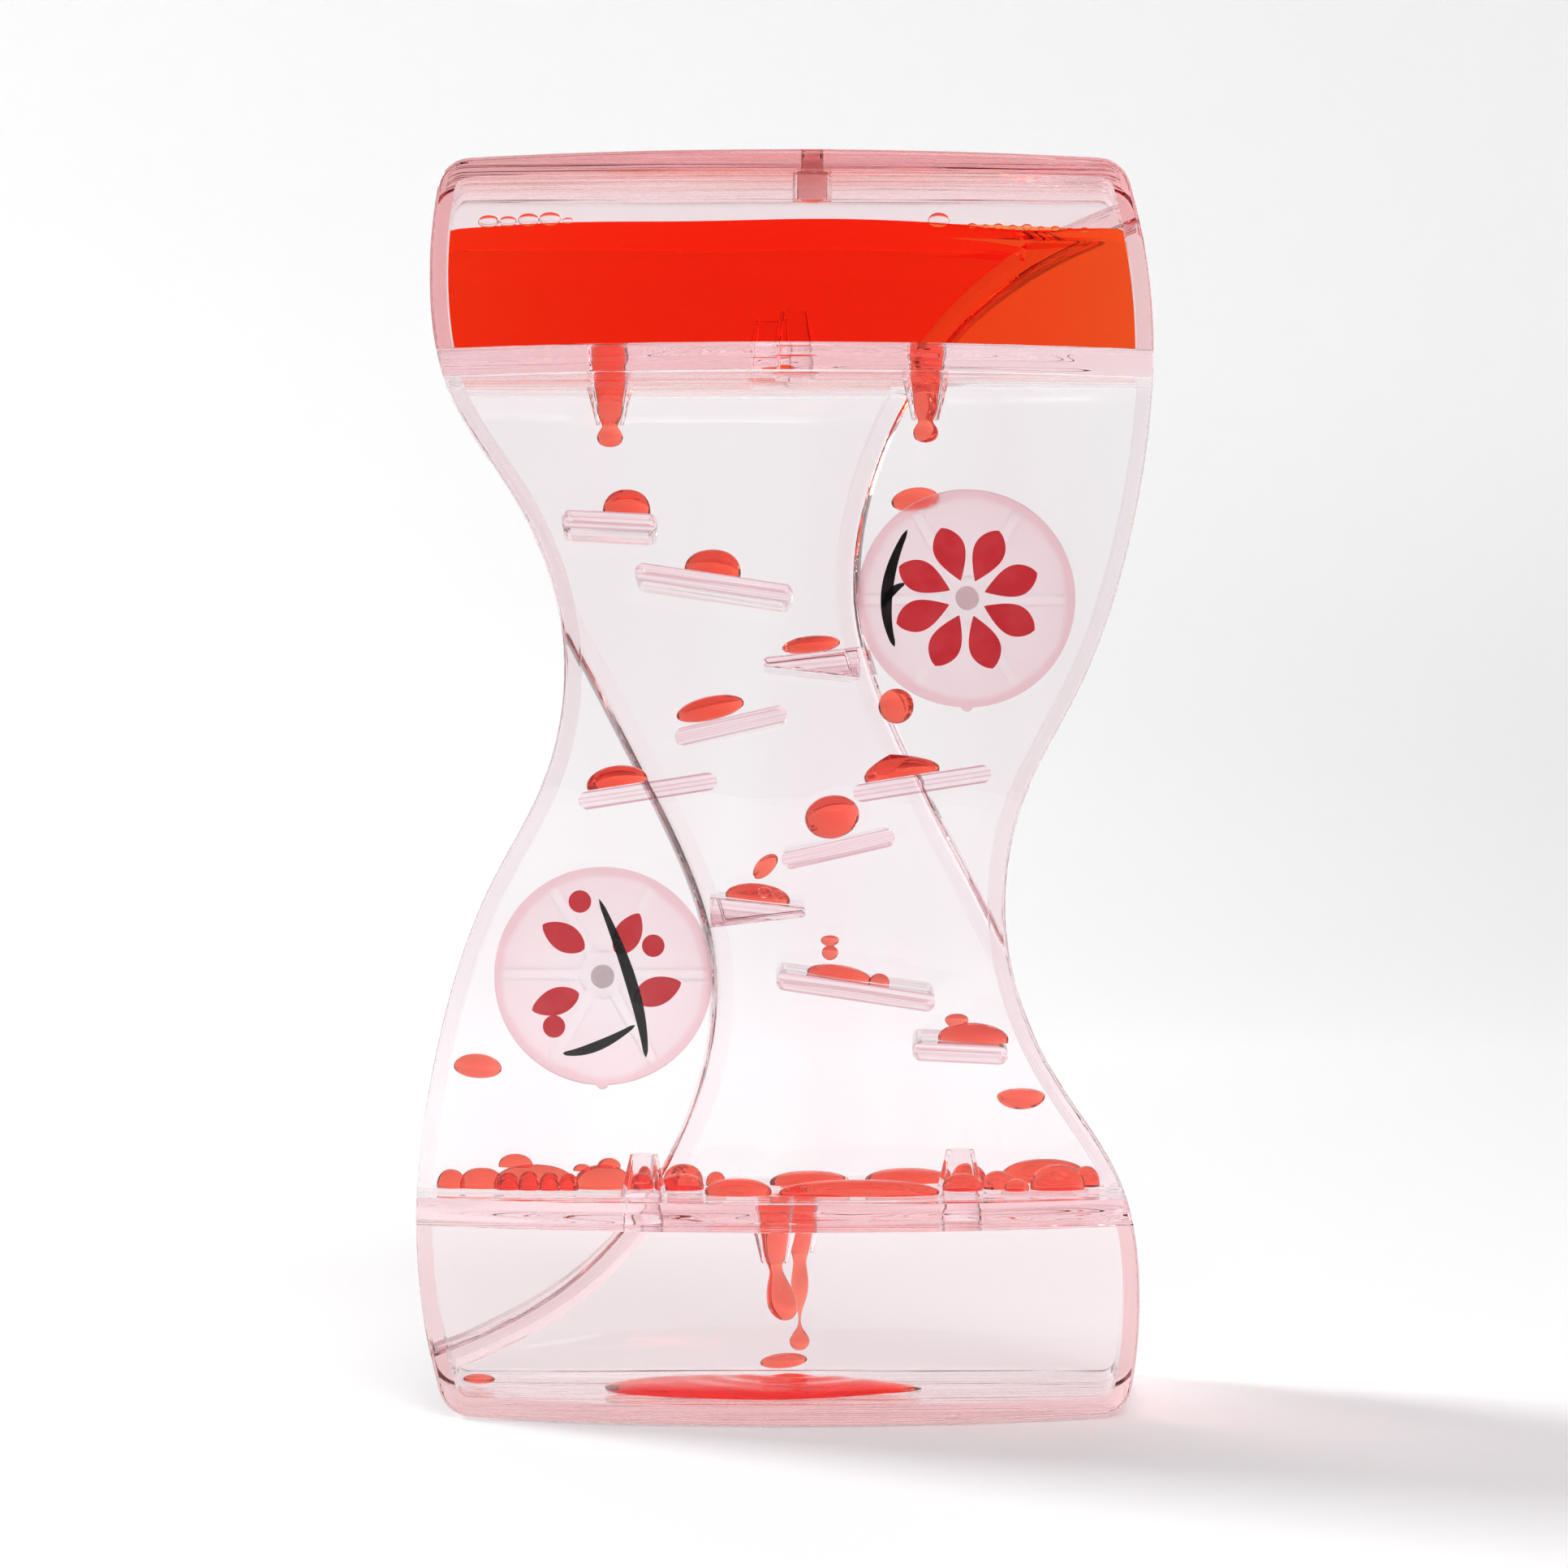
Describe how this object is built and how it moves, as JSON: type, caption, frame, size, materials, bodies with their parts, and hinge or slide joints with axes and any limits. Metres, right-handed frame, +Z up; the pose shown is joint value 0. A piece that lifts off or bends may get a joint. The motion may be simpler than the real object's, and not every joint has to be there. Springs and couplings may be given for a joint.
{
  "type": "liquid motion timer",
  "caption": "Clear wavy-sided liquid motion timer: red liquid drips from end chambers through nozzles, runs down ramps and turns paddle wheels as it falls.",
  "frame": {"origin": "centre of the body's box at the base it stands on", "axes": "+Z up, +X to the right seen from the front, the front cover faces -Y"},
  "size_m": [0.0824, 0.034, 0.14],
  "materials": {
    "clear_plastic": "clear polished styrene with a faint pink tint",
    "plug_plastic": "soft translucent pink",
    "frosted_plastic": "frosted translucent pink, printed on the front",
    "red_liquid": "clear dyed liquid, bright orange red"
  },
  "bodies": {
    "housing": {"top_chamber": "clear_plastic", "bottom_chamber": "clear_plastic", "upper_plate": "clear_plastic", "lower_plate": "clear_plastic", "middle_front": "clear_plastic", "middle_back": "clear_plastic", "ramp_1": "clear_plastic", "ramp_2": "clear_plastic", "ramp_3": "clear_plastic", "ramp_4": "clear_plastic", "ramp_5": "clear_plastic", "ramp_6": "clear_plastic", "ramp_7": "clear_plastic", "ramp_8": "clear_plastic", "ramp_9": "clear_plastic", "ramp_10": "clear_plastic", "wheel_pin_right": "clear_plastic", "wheel_pin_left": "clear_plastic", "fill_plug": "plug_plastic", "red_pool": "red_liquid", "red_layer": "red_liquid", "red_puddle": "red_liquid", "drip_left": "red_liquid", "drip_right": "red_liquid", "drip_front": "red_liquid", "drip_back": "red_liquid", "ramp_drop_1": "red_liquid", "ramp_drop_2": "red_liquid", "ramp_drop_3": "red_liquid", "ramp_drop_4": "red_liquid", "ramp_drop_5": "red_liquid", "ramp_drop_6": "red_liquid", "ramp_drop_7": "red_liquid", "ramp_drop_8": "red_liquid", "ramp_drop_9": "red_liquid", "ramp_drop_10": "red_liquid", "loose_drops": "red_liquid"},
    "right_wheel": {"wheel_right": "frosted_plastic"},
    "left_wheel": {"wheel_left": "frosted_plastic"}
  },
  "joints": [
    {"name": "right_wheel_spin", "type": "hinge", "parent": "housing", "child": "right_wheel", "pos_m": [0.02005, -0.0099, 0.091], "axis": [0, 1, 0], "continuous": true},
    {"name": "left_wheel_spin", "type": "hinge", "parent": "housing", "child": "left_wheel", "pos_m": [-0.02005, -0.0099, 0.049], "axis": [0, 1, 0], "continuous": true}
  ]
}
